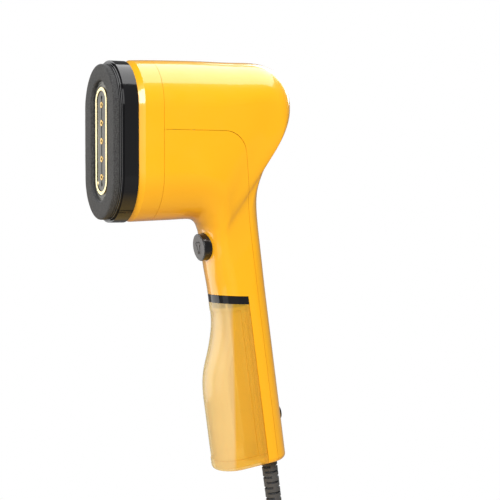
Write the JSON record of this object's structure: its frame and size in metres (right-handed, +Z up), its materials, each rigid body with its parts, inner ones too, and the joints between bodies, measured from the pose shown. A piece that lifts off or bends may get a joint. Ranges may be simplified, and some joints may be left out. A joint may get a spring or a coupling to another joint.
{
  "type": "garment steamer",
  "caption": "Handheld garment steamer with an upright oblong steaming face, a thumb trigger in the grip, a slide-off water tank under it and a mains cord from the foot.",
  "frame": {"origin": "middle of the hand grip", "axes": "-Y towards the steaming face, +Z up towards the head, X across the width; the handle leans 8 degrees, its foot further back"},
  "size_m": [0.0678, 0.166, 0.6127],
  "materials": {
    "housing_yellow": "gloss moulded",
    "tank_amber": "translucent amber plastic",
    "black_gloss": "gloss",
    "black_satin": "satin",
    "silicone": "soft",
    "rubber": "matt",
    "brass": "turned",
    "pad_textile": "short pile",
    "face_metal": "coated",
    "gold_trim": "bright",
    "steel": "plain",
    "cast_aluminium": "as cast",
    "white_plastic": "satin",
    "copper_winding": "enamelled",
    "button_grey": "satin",
    "cord_black": "matt",
    "board_green": "lacquered",
    "wire_blue": "matt",
    "tie_textile": "hook and loop",
    "brass_nickel": "nickel plated"
  },
  "bodies": {
    "housing": {"front_collar": "housing_yellow", "rear_shell": "housing_yellow", "front_shell": "housing_yellow", "head_bezel": "black_gloss", "steam_plate": "face_metal", "plate_trim": "gold_trim", "steam_nozzles": "brass", "heating_element": "steel", "heater_terminals": "steel", "steam_chamber": "cast_aluminium", "chamber_gasket": "silicone", "chamber_cover": "cast_aluminium", "cover_screws": "steel", "thermostat": "steel", "thermal_fuse": "steel", "fuse_clip": "steel", "heater_carrier": "black_satin", "carrier_screws": "steel", "pump_body": "white_plastic", "pump_coil": "copper_winding", "pump_spring": "steel", "pump_grommets": "rubber", "pump_bracket": "white_plastic", "steam_hose": "silicone", "feed_hose": "silicone", "hose_clips": "steel", "coupling_socket": "white_plastic", "coupling_seal": "rubber", "trigger_spring": "steel", "switch_bracket": "white_plastic", "micro_switch": "black_satin", "power_switch": "black_satin", "strain_relief": "rubber", "cord_clamp": "white_plastic", "inner_screws": "steel", "housing_screws": "steel", "cord_inner": "cord_black", "control_board": "board_green", "board_parts": "black_satin", "wiring": "wire_blue", "cord_lead": "cord_black", "cord_tail": "cord_black", "cord_hank": "cord_black", "cord_tie": "tie_textile", "plug_relief": "rubber", "plug_body": "rubber", "plug_pins": "brass_nickel"},
    "trigger": {"trigger_button": "black_gloss", "button_face": "button_grey"},
    "plunger": {"switch_plunger": "white_plastic"},
    "power_key": {"power_button": "black_gloss"},
    "tank": {"tank_shell": "tank_amber", "tank_base": "tank_amber", "tank_cap": "black_gloss", "suction_tube": "silicone", "filter_weight": "brass"},
    "filler_stopper": {"fill_plug": "silicone"},
    "pad": {"steam_pad": "pad_textile", "pad_frame": "black_satin"},
    "piston": {"pump_piston": "steel"}
  },
  "joints": [
    {"name": "trigger_press", "type": "slide", "parent": "housing", "child": "trigger", "axis": [0, 0.9903, 0.1392], "range_m": [0, 0.003], "stiffness_N_per_m": 600, "springref_m": -0.003, "deforming": ["trigger_spring"]},
    {"name": "plunger_press", "type": "slide", "parent": "housing", "child": "plunger", "axis": [0, 0.9903, 0.1392], "range_m": [0, 0.0027]},
    {"name": "power_press", "type": "slide", "parent": "housing", "child": "power_key", "axis": [0, -0.9903, -0.1392], "range_m": [0, 0.0012], "stiffness_N_per_m": 1500, "springref_m": -0.001},
    {"name": "tank_slide", "type": "slide", "parent": "housing", "child": "tank", "axis": [0, 0.1392, -0.9903], "range_m": [0, 0.12]},
    {"name": "filler_pull", "type": "slide", "parent": "tank", "child": "filler_stopper", "axis": [0, -0.1392, 0.9903], "range_m": [0, 0.006]},
    {"name": "pad_pull", "type": "slide", "parent": "housing", "child": "pad", "axis": [0, -1, 0], "range_m": [0, 0.02]},
    {"name": "piston_stroke", "type": "slide", "parent": "housing", "child": "piston", "axis": [0, 1, 0], "range_m": [-0.001, 0.001], "stiffness_N_per_m": 800, "deforming": ["pump_spring"]}
  ],
  "couplings": [
    {"joint": "plunger_press", "follows": "trigger_press", "ratio": 0.9}
  ]
}
